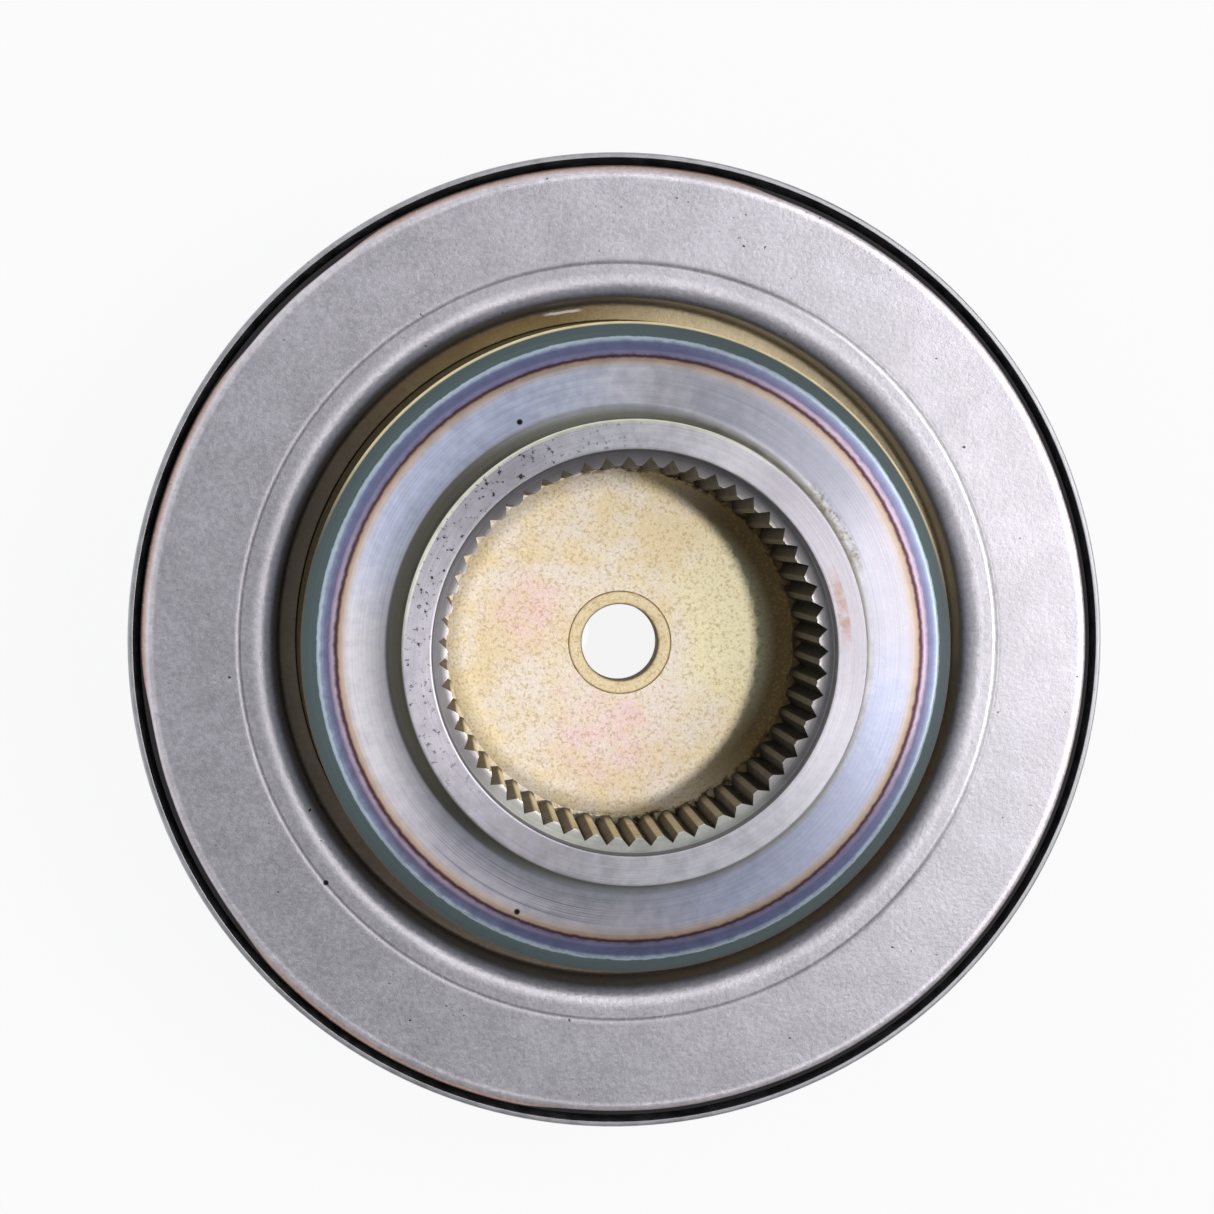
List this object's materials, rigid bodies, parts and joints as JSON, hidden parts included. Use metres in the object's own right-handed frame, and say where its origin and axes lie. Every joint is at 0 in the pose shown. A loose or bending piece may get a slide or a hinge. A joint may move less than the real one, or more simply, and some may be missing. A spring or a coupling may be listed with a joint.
{
  "type": "planetary gear set",
  "caption": "Drum with a splined hub and a sliding sealed piston on its face, and a planetary train of ring gear, carrier, planets and sun in the skirt behind its web.",
  "frame": {"origin": "on the axis, in the plane of the drum's lower rim", "axes": "+Z along the shared axis, from the gear side to the splined collar; +X and +Y are right and up in the picture"},
  "size_m": [0.16, 0.16, 0.0821],
  "materials": {
    "drum_steel": "turned steel, grey",
    "hub_steel": "machined steel with heat tint",
    "piston_steel": "pressed steel, lilac grey",
    "golden_plate": "golden passivated, grainy",
    "golden_bush": "pale gold",
    "seal_rubber": "moulded black rubber",
    "gear_steel": "ground gear steel",
    "carrier_steel": "stamped steel, oiled",
    "rivet_steel": "headed steel",
    "pin_steel": "ground and hardened",
    "needle_steel": "polished",
    "spring_steel": "blackened spring steel",
    "bronze": "bronze bearing metal"
  },
  "bodies": {
    "drum": {"clutch_drum": "drum_steel", "ring_gear": "gear_steel", "ring_gear_snap_ring": "spring_steel", "spline_hub": "hub_steel", "end_plate": "golden_plate", "pilot_bush": "golden_bush", "carrier_thrust_washer": "bronze"},
    "piston": {"piston": "piston_steel", "piston_outer_seal": "seal_rubber", "piston_inner_seal": "seal_rubber"},
    "carrier": {"carrier_front_plate": "carrier_steel", "carrier_rear_plate": "carrier_steel", "sun_washer_front": "bronze", "sun_washer_rear": "bronze", "carrier_pillar_1": "carrier_steel", "carrier_pillar_2": "carrier_steel", "carrier_pillar_3": "carrier_steel", "carrier_pillar_4": "carrier_steel", "carrier_rivet_1": "rivet_steel", "carrier_rivet_2": "rivet_steel", "carrier_rivet_3": "rivet_steel", "carrier_rivet_4": "rivet_steel", "planet_pin_1": "pin_steel", "planet_pin_2": "pin_steel", "planet_pin_3": "pin_steel", "planet_pin_4": "pin_steel", "planet_washer_front_1": "bronze", "planet_washer_front_2": "bronze", "planet_washer_front_3": "bronze", "planet_washer_front_4": "bronze", "planet_washer_rear_1": "bronze", "planet_washer_rear_2": "bronze", "planet_washer_rear_3": "bronze", "planet_washer_rear_4": "bronze"},
    "sun": {"sun_gear": "gear_steel"},
    "planet_1": {"planet_gear_1": "gear_steel", "planet_needle_bearing_1": "needle_steel"},
    "planet_2": {"planet_gear_2": "gear_steel", "planet_needle_bearing_2": "needle_steel"},
    "planet_3": {"planet_gear_3": "gear_steel", "planet_needle_bearing_3": "needle_steel"},
    "planet_4": {"planet_gear_4": "gear_steel", "planet_needle_bearing_4": "needle_steel"}
  },
  "joints": [
    {"name": "piston_slide", "type": "slide", "parent": "drum", "child": "piston", "axis": [0, 0, 1], "range_m": [0, 0.003]},
    {"name": "carrier_spin", "type": "hinge", "parent": "drum", "child": "carrier", "pos_m": [0, 0, 0], "axis": [0, 0, 1], "continuous": true},
    {"name": "sun_spin", "type": "hinge", "parent": "drum", "child": "sun", "pos_m": [0, 0, 0], "axis": [0, 0, 1], "continuous": true},
    {"name": "planet_1_spin", "type": "hinge", "parent": "carrier", "child": "planet_1", "pos_m": [0.05, 0, 0], "axis": [0, 0, 1], "continuous": true},
    {"name": "planet_2_spin", "type": "hinge", "parent": "carrier", "child": "planet_2", "pos_m": [0, 0.05, 0], "axis": [0, 0, 1], "continuous": true},
    {"name": "planet_3_spin", "type": "hinge", "parent": "carrier", "child": "planet_3", "pos_m": [-0.05, 0, 0], "axis": [0, 0, 1], "continuous": true},
    {"name": "planet_4_spin", "type": "hinge", "parent": "carrier", "child": "planet_4", "pos_m": [0, -0.05, 0], "axis": [0, 0, 1], "continuous": true}
  ],
  "couplings": [
    {"joint": "sun_spin", "follows": "carrier_spin", "ratio": 3.125},
    {"joint": "planet_1_spin", "follows": "carrier_spin", "ratio": -3.7778},
    {"joint": "planet_2_spin", "follows": "carrier_spin", "ratio": -3.7778},
    {"joint": "planet_3_spin", "follows": "carrier_spin", "ratio": -3.7778},
    {"joint": "planet_4_spin", "follows": "carrier_spin", "ratio": -3.7778}
  ]
}
